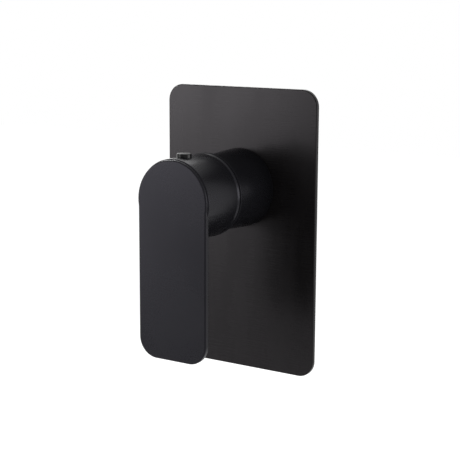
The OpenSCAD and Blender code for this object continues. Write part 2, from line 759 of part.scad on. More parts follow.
module drum_shell() {
    mouth_end = drum_back_z + drum_mouth_depth;
    rotate_extrude($fn = round_fn) difference() {
        union() {
            translate([0, drum_back_z + drum_edge_r])
                square([drum_r, shoulder_z - shoulder_r - drum_back_z - drum_edge_r]);
            translate([0, drum_back_z])
                square([drum_r - drum_edge_r, shoulder_z - drum_back_z - shoulder_r]);
            translate([drum_r - drum_edge_r, drum_back_z + drum_edge_r])
                circle(r = drum_edge_r, $fn = section_fn);
            translate([0, shoulder_z - 1]) square([drum_r - shoulder_r, 1]);
            translate([drum_r - shoulder_r, shoulder_z - shoulder_r])
                circle(r = shoulder_r, $fn = section_fn);
        }
        translate([0, drum_back_z - 1]) square([drum_mouth_r, drum_mouth_depth + 1]);
        translate([0, mouth_end - eps]) square([drum_core_r, paddle_back_z - mouth_end]);
    }
}

module inside_drum() {
    translate([0, 0, drum_back_z + 2])
        cylinder(r = drum_core_r + 1, h = paddle_back_z - drum_back_z - 1.5, $fn = round_fn);
}

// Handle, one casting: paddle, drum, spindle boss and screw boss
module handle() color([0.05, 0.05, 0.055]) {
    seat() difference() {
        union() {
            paddle();
            difference() {
                union() {
                    drum_shell();
                    intersection() {
                        inside_drum();
                        grub_axis() cylinder(r = screw_boss_r, h = handle_w, $fn = mid_fn);
                    }
                }
                translate([0, 0, pivot_z]) sphere(r = dome_clear_r, $fn = round_fn);
            }
            intersection() {
                inside_drum();
                at_lever() translate([0, 0, boss_start])
                    cylinder(r = boss_r, h = handle_w, $fn = mid_fn);
            }
        }
        at_lever() translate([-spindle_w / 2 - run_fit, -spindle_w / 2 - run_fit, 0])
            cube([spindle_w + 2 * run_fit, spindle_w + 2 * run_fit, spindle_l + 0.3]);
        grub_axis() cylinder(r = grub_r + run_fit, h = drum_r + 4, $fn = small_fn);
        translate([0, drum_r - index_depth, index_z]) rotate([-90, 0, 0])
            cylinder(r = index_r, h = handle_w, $fn = small_fn);
    }
}

module index_cap() color([0.05, 0.05, 0.055]) {
    seat() translate([0, drum_r - index_depth, index_z]) rotate([-90, 0, 0])
        soft_disc(index_r - index_gap, index_depth + index_proud, index_edge_r);
}

faceplate();
plate_gasket();
sleeve();
sleeve_seal();
neck_seal();
valve_body();
cartridge_nut();
cartridge_housing();
cartridge_base();
base_seals();
fixed_disc();
disc_seals();
moving_disc();
disc_carrier();
rotor();
stop_ring();
lever_pin();
lever();
grub_screw();
handle();
index_cap();
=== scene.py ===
import math

import bmesh
import bpy
from mathutils import Matrix, Vector


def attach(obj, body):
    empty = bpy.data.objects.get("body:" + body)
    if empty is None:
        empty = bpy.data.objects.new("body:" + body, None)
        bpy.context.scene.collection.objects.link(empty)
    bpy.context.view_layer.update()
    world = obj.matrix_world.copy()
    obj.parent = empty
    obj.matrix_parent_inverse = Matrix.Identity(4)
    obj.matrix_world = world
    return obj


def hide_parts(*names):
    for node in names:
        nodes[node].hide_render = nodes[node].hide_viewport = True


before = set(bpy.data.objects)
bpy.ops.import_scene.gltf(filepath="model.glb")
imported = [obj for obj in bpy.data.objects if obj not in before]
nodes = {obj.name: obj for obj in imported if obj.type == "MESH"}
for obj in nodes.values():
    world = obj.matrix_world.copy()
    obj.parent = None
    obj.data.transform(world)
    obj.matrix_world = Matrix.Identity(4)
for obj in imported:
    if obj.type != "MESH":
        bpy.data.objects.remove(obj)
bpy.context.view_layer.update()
mm = 0.001
wallFace = -27 * mm  # finished wall in the row frame
outOfWall = Matrix.Translation((0, wallFace, 0)) @ Matrix.Rotation(math.pi / 2, 4, "X")

print("frame loaded,", len(nodes), "nodes")


# Modelling helpers. Pieces are drawn in millimetres with +Z out of the wall, then stood up.

def arc(centreX, centreZ, radius, fromDeg, toDeg, steps):
    turns = [math.radians(fromDeg + (toDeg - fromDeg) * i / steps) for i in range(steps + 1)]
    return [(centreX + radius * math.cos(t), centreZ + radius * math.sin(t)) for t in turns]


def turned(points, steps, closed=True):  # lathe work from a half section, radius first
    bm = bmesh.new()
    rim = [bm.verts.new((r, 0, z)) for r, z in points]
    line = [bm.edges.new(pair) for pair in zip(rim, rim[1:])]
    if closed:
        line.append(bm.edges.new((rim[-1], rim[0])))
    bmesh.ops.spin(bm, geom=rim + line, cent=(0, 0, 0), axis=(0, 0, 1),
                   angle=2 * math.pi, steps=steps, use_merge=True)
    tidyMesh(bm)
    return bm


def tidyMesh(bm):
    bmesh.ops.remove_doubles(bm, verts=bm.verts, dist=0.0015)
    bmesh.ops.dissolve_degenerate(bm, edges=bm.edges, dist=0.0005)
    bmesh.ops.recalc_face_normals(bm, faces=bm.faces)


def roundCorners(bm, corners, radius, segments):
    bmesh.ops.bevel(bm, geom=corners, offset=radius, segments=segments, profile=0.5,
                    affect="VERTICES", material=-1)


def softenEdges(bm, edges, radius, segments):
    bmesh.ops.bevel(bm, geom=edges, offset=radius, segments=segments, profile=0.5,
                    affect="EDGES", material=-1)


def rod(radius, length, steps, place=Matrix.Identity(4)):
    bm = bmesh.new()
    bmesh.ops.create_cone(bm, cap_ends=True, segments=steps, radius1=radius, radius2=radius,
                          depth=length, matrix=place @ Matrix.Translation((0, 0, length / 2)))
    return bm


def asObject(name, bm):
    mesh = bpy.data.meshes.new(name)
    bm.to_mesh(mesh)
    bm.free()
    piece = bpy.data.objects.new(name, mesh)
    bpy.context.scene.collection.objects.link(piece)
    return piece


def carve(piece, tool, operation):  # joins, cuts or trims with a tool shape, which is used up
    step = piece.modifiers.new(operation.lower(), "BOOLEAN")
    step.operation, step.solver, step.object = operation, "EXACT", tool
    made = bpy.data.meshes.new_from_object(piece.evaluated_get(bpy.context.evaluated_depsgraph_get()))
    piece.modifiers.clear()
    piece.data = made
    bpy.data.objects.remove(tool)


# stands a piece up in metres, shades it and hangs it on its body
def finishPiece(piece, material, body, stands=None, sharpDeg=32):
    bm = bmesh.new()
    bm.from_mesh(piece.data)
    tidyMesh(bm)
    bmesh.ops.dissolve_limit(bm, angle_limit=math.radians(0.05), verts=bm.verts, edges=bm.edges)
    bmesh.ops.transform(bm, matrix=outOfWall @ Matrix.Scale(mm, 4), verts=bm.verts)
    bm.to_mesh(piece.data)
    bm.free()
    shade(piece, sharpDeg)
    piece.data.materials.clear()
    piece.data.materials.append(material)
    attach(piece, body)
    if stands:
        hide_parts(stands)
    print("piece", piece.name, len(piece.data.polygons), "faces")
    return piece


def shade(piece, sharpDeg):
    piece.data.shade_smooth()
    piece.data.set_sharp_from_angle(angle=math.radians(sharpDeg))
    keepFlats = piece.modifiers.new("flatFaces", "WEIGHTED_NORMAL")
    keepFlats.keep_sharp = True


# Materials

def newMaterial(name):
    material = bpy.data.materials.new(name)
    material.use_nodes = True
    tree = material.node_tree
    return material, tree, tree.nodes["Principled BSDF"]


def link(tree, start, end):
    tree.links.new(start, end)


def objectPattern(tree, stretch=(1, 1, 1)):
    spot = tree.nodes.new("ShaderNodeTexCoord")
    mapping = tree.nodes.new("ShaderNodeMapping")
    mapping.inputs["Scale"].default_value = stretch
    link(tree, spot.outputs["Object"], mapping.inputs["Vector"])
    return mapping.outputs["Vector"]


def noise(tree, vector, scale, detail=3.0, roughness=0.5):
    made = tree.nodes.new("ShaderNodeTexNoise")
    made.inputs["Scale"].default_value = scale
    made.inputs["Detail"].default_value = detail
    made.inputs["Roughness"].default_value = roughness
    link(tree, vector, made.inputs["Vector"])
    return made.outputs["Fac"]


def between(tree, factor, low, high, fromLow=0.3, fromHigh=0.7):  # a pattern onto a range of values
    made = tree.nodes.new("ShaderNodeMapRange")
    for key, value in (("From Min", fromLow), ("From Max", fromHigh), ("To Min", low), ("To Max", high)):
        made.inputs[key].default_value = value
    link(tree, factor, made.inputs["Value"])
    return made.outputs["Result"]


def mixed(tree, factor, colourA, colourB):
    made = tree.nodes.new("ShaderNodeMix")
    made.data_type = "RGBA"
    made.inputs[6].default_value = (*colourA, 1)
    made.inputs[7].default_value = (*colourB, 1)
    link(tree, factor, made.inputs[0])
    return made.outputs[2]


def reckon(tree, operation, *values):  # a Math node over values or other nodes' outputs
    made = tree.nodes.new("ShaderNodeMath")
    made.operation = operation
    for slot, value in enumerate(values):
        if isinstance(value, bpy.types.NodeSocket):
            link(tree, value, made.inputs[slot])
        else:
            made.inputs[slot].default_value = value
    return made.outputs[0]


def bump(tree, height, distance, strength=1.0, under=None):
    made = tree.nodes.new("ShaderNodeBump")
    made.inputs["Distance"].default_value = distance
    made.inputs["Strength"].default_value = strength
    link(tree, height, made.inputs["Height"])
    if under:
        link(tree, under, made.inputs["Normal"])
    return made.outputs["Normal"]


# satin black coat: fine orange peel, a faint grain and slow changes of gloss and tone
def satinBlack(name, look):
    material, tree, shader = newMaterial(name)
    vector = objectPattern(tree)
    slow = noise(tree, objectPattern(tree, look["slowStretch"]), look["slowScale"], 2.0)
    grain = noise(tree, objectPattern(tree, look["grainStretch"]), look["grainScale"], 4.0, 0.6)
    peel = noise(tree, vector, look["peelScale"], 2.0)
    link(tree, mixed(tree, between(tree, slow, 0, 1), look["dark"], look["light"]), shader.inputs["Base Color"])
    spread = tree.nodes.new("ShaderNodeMath")
    spread.operation = "ADD"
    link(tree, between(tree, slow, *look["roughness"]), spread.inputs[0])
    link(tree, between(tree, grain, -look["grainRough"], look["grainRough"]), spread.inputs[1])
    link(tree, spread.outputs[0], shader.inputs["Roughness"])
    shader.inputs["IOR"].default_value = 1.5
    shader.inputs["Specular IOR Level"].default_value = look["gloss"]
    shader.inputs["Specular Tint"].default_value = (*look["glossTint"], 1)
    shader.inputs["Anisotropic"].default_value = look["brushed"]
    shader.inputs["Anisotropic Rotation"].default_value = 0.25  # brushed from side to side
    normal = bump(tree, grain, look["grainDepth"])
    link(tree, bump(tree, peel, look["peelDepth"], under=normal), shader.inputs["Normal"])
    return material


castBlackLook = {
    "dark": (0.0040, 0.0040, 0.0050), "light": (0.0056, 0.0056, 0.0066),
    "roughness": (0.24, 0.30), "gloss": 0.133, "glossTint": (0.87, 0.84, 1.0), "brushed": 0,
    "slowScale": 22, "slowStretch": (1, 1, 1),
    "grainScale": 1400, "grainStretch": (1, 1, 1), "grainRough": 0.02,
    "grainDepth": 0.0003 * mm, "peelScale": 420, "peelDepth": 0.0024 * mm,
}
plateBlackLook = {
    "dark": (0.0042, 0.0038, 0.0040), "light": (0.0058, 0.0052, 0.0055),
    "roughness": (0.25, 0.30), "gloss": 0.128, "glossTint": (1.0, 0.94, 1.0), "brushed": 0.3,
    "slowScale": 60, "slowStretch": (1, 1, 0.25),
    "grainScale": 60, "grainStretch": (1, 1, 40), "grainRough": 0.014,
    "grainDepth": 0.0008 * mm, "peelScale": 700, "peelDepth": 0.003 * mm,
}
castBlack = satinBlack("castBlack", castBlackLook)
plateBlack = satinBlack("plateBlack", plateBlackLook)


def metal(name, look):  # bare metal with tool marks or a cast skin
    material, tree, shader = newMaterial(name)
    vector = objectPattern(tree)
    skin = noise(tree, vector, look["skinScale"], 5.0, 0.6)
    stain = noise(tree, vector, look["stainScale"], 3.0)
    link(tree, mixed(tree, between(tree, stain, 0, 1), look["dark"], look["light"]), shader.inputs["Base Color"])
    link(tree, between(tree, skin, *look["roughness"]), shader.inputs["Roughness"])
    shader.inputs["Metallic"].default_value = 1.0
    link(tree, bump(tree, skin, look["skinDepth"]), shader.inputs["Normal"])
    return material


def plain(name, look):  # moulded plastic, rubber, foam or fired ceramic
    material, tree, shader = newMaterial(name)
    vector = objectPattern(tree)
    skin = noise(tree, vector, look["skinScale"], 4.0, 0.55)
    tone = noise(tree, vector, look["toneScale"], 2.0)
    link(tree, mixed(tree, between(tree, tone, 0, 1), look["dark"], look["light"]), shader.inputs["Base Color"])
    link(tree, between(tree, skin, *look["roughness"]), shader.inputs["Roughness"])
    shader.inputs["IOR"].default_value = look["ior"]
    link(tree, bump(tree, skin, look["skinDepth"]), shader.inputs["Normal"])
    return material


# cast brass with a sandy skin, turned bright in the ports and across their mouths
def portedBrass(name, look):
    material, tree, shader = newMaterial(name)
    vector = objectPattern(tree)
    parts = tree.nodes.new("ShaderNodeSeparateXYZ")
    link(tree, vector, parts.inputs[0])
    across = reckon(tree, "ABSOLUTE", parts.outputs["X"])
    up = parts.outputs["Z"]
    depth = reckon(tree, "SUBTRACT", parts.outputs["Y"], look["portY"])
    turnedFaces = []
    for along, beside, mouth in ((across, up, look["inletMouth"]), (up, across, look["outletMouth"])):
        off = reckon(tree, "SQRT", reckon(tree, "ADD", reckon(tree, "POWER", depth, 2.0),
                                          reckon(tree, "POWER", beside, 2.0)))
        inside = reckon(tree, "LESS_THAN", off, look["boreReach"])
        deep = reckon(tree, "GREATER_THAN", along, mouth - look["boreDeep"])
        turnedFaces += [reckon(tree, "MULTIPLY", inside, deep),
                        reckon(tree, "GREATER_THAN", along, mouth - look["faceCut"])]
    bright = turnedFaces[0]
    for other in turnedFaces[1:]:
        bright = reckon(tree, "MAXIMUM", bright, other)
    skin = noise(tree, vector, look["skinScale"], 5.0, 0.6)
    stain = noise(tree, vector, look["stainScale"], 3.0)
    tone = between(tree, reckon(tree, "MAXIMUM", stain, bright), 0, 1)
    link(tree, mixed(tree, tone, look["dark"], look["light"]), shader.inputs["Base Color"])
    cast = between(tree, skin, *look["roughness"])
    smooth = reckon(tree, "MULTIPLY", bright, look["turnedGloss"])
    link(tree, reckon(tree, "SUBTRACT", cast, smooth), shader.inputs["Roughness"])
    shader.inputs["Metallic"].default_value = 1.0
    relief = reckon(tree, "MULTIPLY", skin, reckon(tree, "SUBTRACT", 1.0, bright))
    link(tree, bump(tree, relief, look["skinDepth"]), shader.inputs["Normal"])
    return material


castBrass = portedBrass("castBrass", {
    "dark": (0.38, 0.26, 0.11), "light": (0.66, 0.49, 0.22), "roughness": (0.40, 0.54), "turnedGloss": 0.16,
    "skinScale": 1100, "stainScale": 60, "skinDepth": 0.07 * mm, "portY": -13 * mm, "inletMouth": 36 * mm,
    "outletMouth": 42 * mm, "boreReach": 10.8 * mm, "boreDeep": 13.2 * mm, "faceCut": 0.1 * mm})
turnedBrass = metal("turnedBrass", {
    "dark": (0.62, 0.46, 0.21), "light": (0.76, 0.58, 0.28), "roughness": (0.20, 0.30),
    "skinScale": 2600, "stainScale": 90, "skinDepth": 0.006 * mm})
bareSteel = metal("bareSteel", {
    "dark": (0.50, 0.50, 0.52), "light": (0.62, 0.62, 0.64), "roughness": (0.22, 0.32),
    "skinScale": 3000, "stainScale": 120, "skinDepth": 0.004 * mm})
blackedSteel = metal("blackedSteel", {
    "dark": (0.045, 0.045, 0.050), "light": (0.075, 0.075, 0.080), "roughness": (0.30, 0.42),
    "skinScale": 2600, "stainScale": 160, "skinDepth": 0.006 * mm})
gasketFoam = plain("gasketFoam", {
    "dark": (0.018, 0.018, 0.018), "light": (0.035, 0.035, 0.034), "roughness": (0.82, 0.95),
    "ior": 1.40, "skinScale": 1500, "toneScale": 90, "skinDepth": 0.12 * mm})
sealRubber = plain("sealRubber", {
    "dark": (0.012, 0.012, 0.012), "light": (0.022, 0.022, 0.022), "roughness": (0.42, 0.58),
    "ior": 1.52, "skinScale": 1800, "toneScale": 120, "skinDepth": 0.01 * mm})
acetalWhite = plain("acetalWhite", {
    "dark": (0.72, 0.71, 0.67), "light": (0.80, 0.79, 0.76), "roughness": (0.30, 0.40),
    "ior": 1.48, "skinScale": 1200, "toneScale": 50, "skinDepth": 0.008 * mm})
nylonBlack = plain("nylonBlack", {
    "dark": (0.022, 0.022, 0.024), "light": (0.036, 0.036, 0.038), "roughness": (0.38, 0.50),
    "ior": 1.50, "skinScale": 1400, "toneScale": 60, "skinDepth": 0.012 * mm})
stopRed = plain("stopRed", {
    "dark": (0.48, 0.020, 0.015), "light": (0.58, 0.030, 0.022), "roughness": (0.32, 0.42),
    "ior": 1.49, "skinScale": 1300, "toneScale": 70, "skinDepth": 0.008 * mm})
firedCeramic = plain("firedCeramic", {
    "dark": (0.78, 0.75, 0.68), "light": (0.84, 0.82, 0.76), "roughness": (0.14, 0.22),
    "ior": 1.70, "skinScale": 2400, "toneScale": 80, "skinDepth": 0.003 * mm})


# glossy moulded button with a matt top face
def buttonBlack(name, look):
    material, tree, shader = newMaterial(name)
    vector = objectPattern(tree)
    skin = noise(tree, vector, look["skinScale"], 3.0)
    parts = tree.nodes.new("ShaderNodeSeparateXYZ")
    link(tree, vector, parts.inputs[0])
    matt = between(tree, parts.outputs["Z"], *look["roughness"], look["top"] - 0.3 * mm, look["top"])
    rough = reckon(tree, "ADD", matt, between(tree, skin, 0, look["skinRough"]))
    link(tree, rough, shader.inputs["Roughness"])
    link(tree, mixed(tree, between(tree, skin, 0, 1), look["dark"], look["light"]), shader.inputs["Base Color"])
    shader.inputs["IOR"].default_value = 1.5
    shader.inputs["Specular IOR Level"].default_value = look["gloss"]
    link(tree, bump(tree, skin, look["skinDepth"]), shader.inputs["Normal"])
    return material


capBlack = buttonBlack("capBlack", {
    "dark": (0.0030, 0.0030, 0.0034), "light": (0.0045, 0.0045, 0.0050), "gloss": 0.14,
    "roughness": (0.18, 0.36), "top": 27.5 * mm, "skinRough": 0.03, "skinScale": 1500,
    "skinDepth": 0.003 * mm})

nodeFinish = {
    "plate_gasket": gasketFoam, "sleeve_seal": sealRubber, "neck_seal": sealRubber,
    "cartridge_nut": turnedBrass, "cartridge_housing": acetalWhite, "cartridge_base": nylonBlack,
    "base_seals": sealRubber, "fixed_disc": firedCeramic, "disc_seals": sealRubber,
    "moving_disc": firedCeramic, "disc_carrier": acetalWhite, "rotor": acetalWhite,
    "stop_ring": stopRed, "lever_pin": bareSteel, "lever": turnedBrass, "grub_screw": blackedSteel,
    "faceplate": plateBlack, "sleeve": castBlack, "handle": castBlack, "index_cap": capBlack,
    "valve_body": castBrass,
}
for name, finish in nodeFinish.items():
    nodes[name].data.materials.clear()
    nodes[name].data.materials.append(finish)
print("materials set on", len(nodeFinish), "nodes")


# Faceplate: pressed sheet with a turned rim, drawn at its own centre

plateSize = {"width": 110, "height": 180, "corner": 10.5, "front": 3, "back": 0.4, "skin": 1.6,
             "rim": 1.8, "edge": 0.6, "drop": 26.7, "bore": 21.2}


def makeFaceplate(size):
    bm = bmesh.new()
    bmesh.ops.create_grid(bm, x_segments=1, y_segments=1, size=0.5)
    bmesh.ops.scale(bm, vec=(size["width"], size["height"], 1), verts=bm.verts)
    bmesh.ops.translate(bm, vec=(0, -size["drop"], size["front"]), verts=bm.verts)
    roundCorners(bm, bm.verts[:], size["corner"], 28)
    sheet = bmesh.ops.extrude_face_region(bm, geom=bm.faces[:])
    pulled = [v for v in sheet["geom"] if isinstance(v, bmesh.types.BMVert)]
    bmesh.ops.translate(bm, vec=(0, 0, size["back"] - size["front"]), verts=pulled)
    bmesh.ops.recalc_face_normals(bm, faces=bm.faces)
    frontRim = [e for e in bm.edges if all(v.co.z > size["front"] - 0.01 for v in e.verts)]
    softenEdges(bm, frontRim, size["edge"], 6)
    backFace = [f for f in bm.faces if f.normal.z < -0.9]
    bmesh.ops.inset_region(bm, faces=backFace, thickness=size["rim"], use_even_offset=True)
    hollow = bmesh.ops.extrude_face_region(bm, geom=backFace)
    pushed = [v for v in hollow["geom"] if isinstance(v, bmesh.types.BMVert)]
    bmesh.ops.translate(bm, vec=(0, 0, size["front"] - size["skin"] - size["back"]), verts=pushed)
    bmesh.ops.delete(bm, geom=backFace, context="FACES_ONLY")
    plate = asObject("faceplateSheet", bm)
    carve(plate, asObject("boreTool", rod(size["bore"], 20, 160, Matrix.Translation((0, 0, -8)))), "DIFFERENCE")
    return finishPiece(plate, plateBlack, "base", "faceplate")


# Sleeve: drawn tube on a slight taper, with the dome that the handle swings over

sleeveSize = {"foot": 25.1, "front": 23.2, "wallSide": 3, "end": 38.5, "edge": 0.8, "domeStep": 0.8,
              "pivot": 30.3, "domeWall": 1.6, "domeHole": 14.5, "bore": 21.3, "collar": 9,
              "neck": 20.65, "collarTop": 17, "body": 21.4, "seal": 23.2, "sealHalf": 0.75, "sealDeep": 1.45}


def makeSleeve(size):
    domeR = math.hypot(size["end"] - size["pivot"], size["front"] - size["domeStep"])
    lean = lambda r, shell: math.degrees(math.acos(r / shell))
    inner = domeR - size["domeWall"]
    edgeZ = size["end"] - size["edge"]
    section = [(size["seal"] + size["sealHalf"], size["wallSide"]), (size["foot"] - 0.25, size["wallSide"])]
    section += [(size["foot"] - 0.02, size["wallSide"] + 0.25)]
    section += arc(size["front"] - size["edge"], edgeZ, size["edge"], 3, 90, 8)
    section += arc(0, size["pivot"], domeR, lean(size["front"] - size["edge"] - 0.001, domeR),
                   lean(size["domeHole"] + 0.3, domeR), 28)
    holeOuter = size["pivot"] + math.sqrt(domeR ** 2 - size["domeHole"] ** 2)
    holeInner = size["pivot"] + math.sqrt(inner ** 2 - size["domeHole"] ** 2)
    section += [(size["domeHole"], holeOuter - 0.25), (size["domeHole"], holeInner)]
    section += arc(0, size["pivot"], inner, lean(size["domeHole"] + 0.1, inner), lean(size["body"], inner), 18)
    section += [(size["body"], size["collarTop"]), (size["neck"], size["collarTop"]),
                (size["neck"], size["collar"]), (size["bore"], size["collar"]),
                (size["bore"], size["wallSide"]), (size["seal"] - size["sealHalf"], size["wallSide"]),
                (size["seal"] - size["sealHalf"], size["wallSide"] + size["sealDeep"]),
                (size["seal"] + size["sealHalf"], size["wallSide"] + size["sealDeep"])]
    sleeve = asObject("sleeveShell", turned(section, 192))
    return finishPiece(sleeve, castBlack, "base", "sleeve")


# Handle: one casting of drum, paddle, spindle boss and screw boss

handleSize = {"radius": 25.3, "shoulder": 74.9, "shoulderRound": 0.6, "front": 76.7, "back": 73.1,
              "disc": 24.7, "half": 24.3, "drop": 96.4, "corner": 12.4, "edge": 1.0,
              "rim": 39.9, "lipAt": 44.3, "lipRise": 0.35, "lipSlope": 13, "lipRound": 0.5,
              "grooveAt": 41.4, "grooveWide": 0.8, "grooveDeep": 0.6, "ringEdge": 0.35,
              "mouth": 22.9, "mouthEnd": 51.9, "core": 21.6,
              "pivot": 30.3, "lean": 12.5, "bossStart": 21, "boss": 8.5, "screwBoss": 4.6,
              "screwAt": 26.5, "screwHole": 2.55, "socket": 8.1, "socketDeep": 31.3, "domeClear": 24.45,
              "recess": 4.5, "recessAt": 63.6, "recessDeep": 2.4}


def makeHandle(size):
    radius, ease = size["radius"], size["shoulderRound"]
    cup = [(0, size["shoulder"])] + arc(radius - ease, size["shoulder"] - ease, ease, 90, 0, 5)
    cup += drumLip(size)
    outer, edge, groove = radius + size["lipRise"], size["ringEdge"], size["grooveAt"]
    half = size["grooveWide"] / 2
    cup += arc(outer - edge / 2, groove + half + edge / 2, edge / 2, 0, -90, 4)
    cup += [(outer - size["grooveDeep"], groove + half), (outer - size["grooveDeep"], groove - half)]
    cup += arc(outer - edge, groove - half - edge, edge, 90, 0, 5)
    cup += arc(outer - edge, size["rim"] + edge, edge, 0, -90, 5)
    cup += [(size["mouth"], size["rim"]), (size["mouth"], size["mouthEnd"]),
            (size["core"], size["mouthEnd"]), (size["core"], size["back"]), (0, size["back"])]
    handle = asObject("handleCasting", turned(cup, 192, closed=False))
    carve(handle, asObject("paddle", makePaddle(size)), "UNION")

    atLever = Matrix.Translation((0, 0, size["pivot"])) @ Matrix.Rotation(math.radians(size["lean"]), 4, "X")
    atScrew = atLever @ Matrix.Translation((0, 0, size["screwAt"])) @ Matrix.Rotation(-math.pi / 2, 4, "X")
    insideDrum = Matrix.Translation((0, 0, size["rim"] + 2))
    room = size["back"] + 0.5 - size["rim"] - 2
    boss = asObject("boss", rod(size["boss"], 60, 72, atLever @ Matrix.Translation((0, 0, size["bossStart"]))))
    carve(boss, asObject("trim", rod(size["core"] + 1, room, 96, insideDrum)), "INTERSECT")
    screwBoss = asObject("screwBoss", rod(size["screwBoss"], 50, 64, atScrew))
    carve(screwBoss, asObject("trim", rod(size["core"] + 1, room, 96, insideDrum)), "INTERSECT")
    ball = bmesh.new()
    bmesh.ops.create_uvsphere(ball, u_segments=96, v_segments=64, radius=size["domeClear"],
                              matrix=Matrix.Translation((0, 0, size["pivot"])))
    carve(screwBoss, asObject("ball", ball), "DIFFERENCE")
    carve(handle, screwBoss, "UNION")
    carve(handle, boss, "UNION")

    socket = bmesh.new()
    bmesh.ops.create_cube(socket, size=1, matrix=atLever @ Matrix.Translation((0, 0, size["socketDeep"] / 2))
                          @ Matrix.Diagonal((size["socket"], size["socket"], size["socketDeep"], 1)))
    carve(handle, asObject("socket", socket), "DIFFERENCE")
    carve(handle, asObject("screwHole", rod(size["screwHole"], radius + 4, 48, atScrew)), "DIFFERENCE")
    recessPlace = Matrix.Translation((0, radius - size["recessDeep"], size["recessAt"])) @ \
        Matrix.Rotation(-math.pi / 2, 4, "X")
    carve(handle, asObject("recess", rod(size["recess"], 20, 64, recessPlace)), "DIFFERENCE")
    return finishPiece(handle, castBlack, "handle", "handle")


def drumLip(size):  # the fine raised lip around the drum's back rim
    slope, ease, foot = math.radians(size["lipSlope"]), size["lipRound"], size["radius"]
    rise = size["lipRise"] - 2 * ease * (1 - math.cos(slope))
    low = arc(foot + ease, size["lipAt"], ease, 180, 180 + size["lipSlope"], 4)
    topR = low[-1][0] + rise
    topZ = low[-1][1] - rise / math.tan(slope)
    return low + arc(topR - ease * math.cos(slope), topZ - ease * math.sin(slope), ease,
                     size["lipSlope"], 0, 4)


# flat bar that ends in a disc over the drum, rounded at its bottom corners and along its edges
def makePaddle(size):
    meets = -math.sqrt(size["disc"] ** 2 - size["half"] ** 2)  # where the disc passes into the bar
    bm = bmesh.new()
    bmesh.ops.create_circle(bm, cap_ends=True, segments=192, radius=size["disc"],
                            matrix=Matrix.Translation((0, 0, size["front"])))
    bmesh.ops.bisect_plane(bm, geom=bm.verts[:] + bm.edges[:] + bm.faces[:], plane_co=(0, meets, 0),
                           plane_no=(0, 1, 0), clear_inner=True)
    seam = [e for e in bm.edges if all(abs(v.co.y - meets) < 0.001 for v in e.verts)]
    pulled = [v for v in bmesh.ops.extrude_edge_only(bm, edges=seam)["geom"] if isinstance(v, bmesh.types.BMVert)]
    bmesh.ops.translate(bm, vec=(0, -size["drop"] - meets, 0), verts=pulled)
    bmesh.ops.dissolve_edges(bm, edges=seam)
    roundCorners(bm, [v for v in bm.verts if v.co.y < meets - 1], size["corner"], 24)
    bar = bmesh.ops.extrude_face_region(bm, geom=bm.faces[:])
    pushed = [v for v in bar["geom"] if isinstance(v, bmesh.types.BMVert)]
    bmesh.ops.translate(bm, vec=(0, 0, size["back"] - size["front"]), verts=pushed)
    bmesh.ops.recalc_face_normals(bm, faces=bm.faces)
    rims = [e for e in bm.edges if abs(e.verts[0].co.z - e.verts[1].co.z) < 0.01]
    softenEdges(bm, rims, size["edge"], 8)
    return bm


# Index cap: a small raised button on the drum's crown

capSize = {"radius": 4.45, "height": 4.6, "edge": 0.4, "seat": 22.9, "at": 63.6}


def makeIndexCap(size):
    radius, edge = size["radius"], size["edge"]
    section = [(0, 0)] + arc(radius - edge, edge, edge, -90, 0, 5)
    section += arc(radius - edge, size["height"] - edge, edge, 0, 90, 6) + [(0, size["height"])]
    bm = turned(section, 96, closed=False)
    bmesh.ops.transform(bm, matrix=Matrix.Translation((0, size["seat"], size["at"]))
                        @ Matrix.Rotation(-math.pi / 2, 4, "X"), verts=bm.verts)
    return finishPiece(asObject("indexCap", bm), capBlack, "handle", "index_cap")


makeFaceplate(plateSize)
makeSleeve(sleeveSize)
makeHandle(handleSize)
makeIndexCap(capSize)


# In-wall body: the CAD casting, merged, with eased edges on its foot and a thread cut in each port

bodySize = {"back": -27, "footThick": 4.5, "footEase": 0.4,
            "portAxis": -14, "inletReach": 36, "outletReach": 42, "threadDeep": 12.4, "crest": 9.3,
            "root": 10.48, "pitch": 1.814, "rootFlat": 0.1, "flank": 27.5, "countersink": 0.9}


def threadTool(size):  # one helical groove along +Z from 0, closed at both ends
    inner = size["crest"] - 0.25
    halfWide = size["rootFlat"] + (size["root"] - inner) * math.tan(math.radians(size["flank"]))
    bm = bmesh.new()
    profile = [(inner, -halfWide), (size["root"], -size["rootFlat"]), (size["root"], size["rootFlat"]),
               (inner, halfWide)]
    start = bm.faces.new([bm.verts.new((r, 0, z)) for r, z in profile])
    steps = 48 * round(size["threadDeep"] / size["pitch"])
    bmesh.ops.spin(bm, geom=[start] + start.edges[:] + start.verts[:], cent=(0, 0, 0), axis=(0, 0, 1),
                   dvec=(0, 0, size["pitch"] / 48), angle=2 * math.pi * steps / 48, steps=steps)
    bmesh.ops.recalc_face_normals(bm, faces=bm.faces)
    return bm


def mergedCopy(name):  # a CAD node's shape in drawing millimetres, its loose triangles joined
    bm = bmesh.new()
    bm.from_mesh(nodes[name].data)
    bmesh.ops.transform(bm, matrix=(outOfWall @ Matrix.Scale(mm, 4)).inverted(), verts=bm.verts)
    bmesh.ops.remove_doubles(bm, verts=bm.verts, dist=0.002)
    bmesh.ops.dissolve_degenerate(bm, edges=bm.edges, dist=0.0005)
    bmesh.ops.dissolve_limit(bm, angle_limit=math.radians(0.5), verts=bm.verts, edges=bm.edges)
    return bm


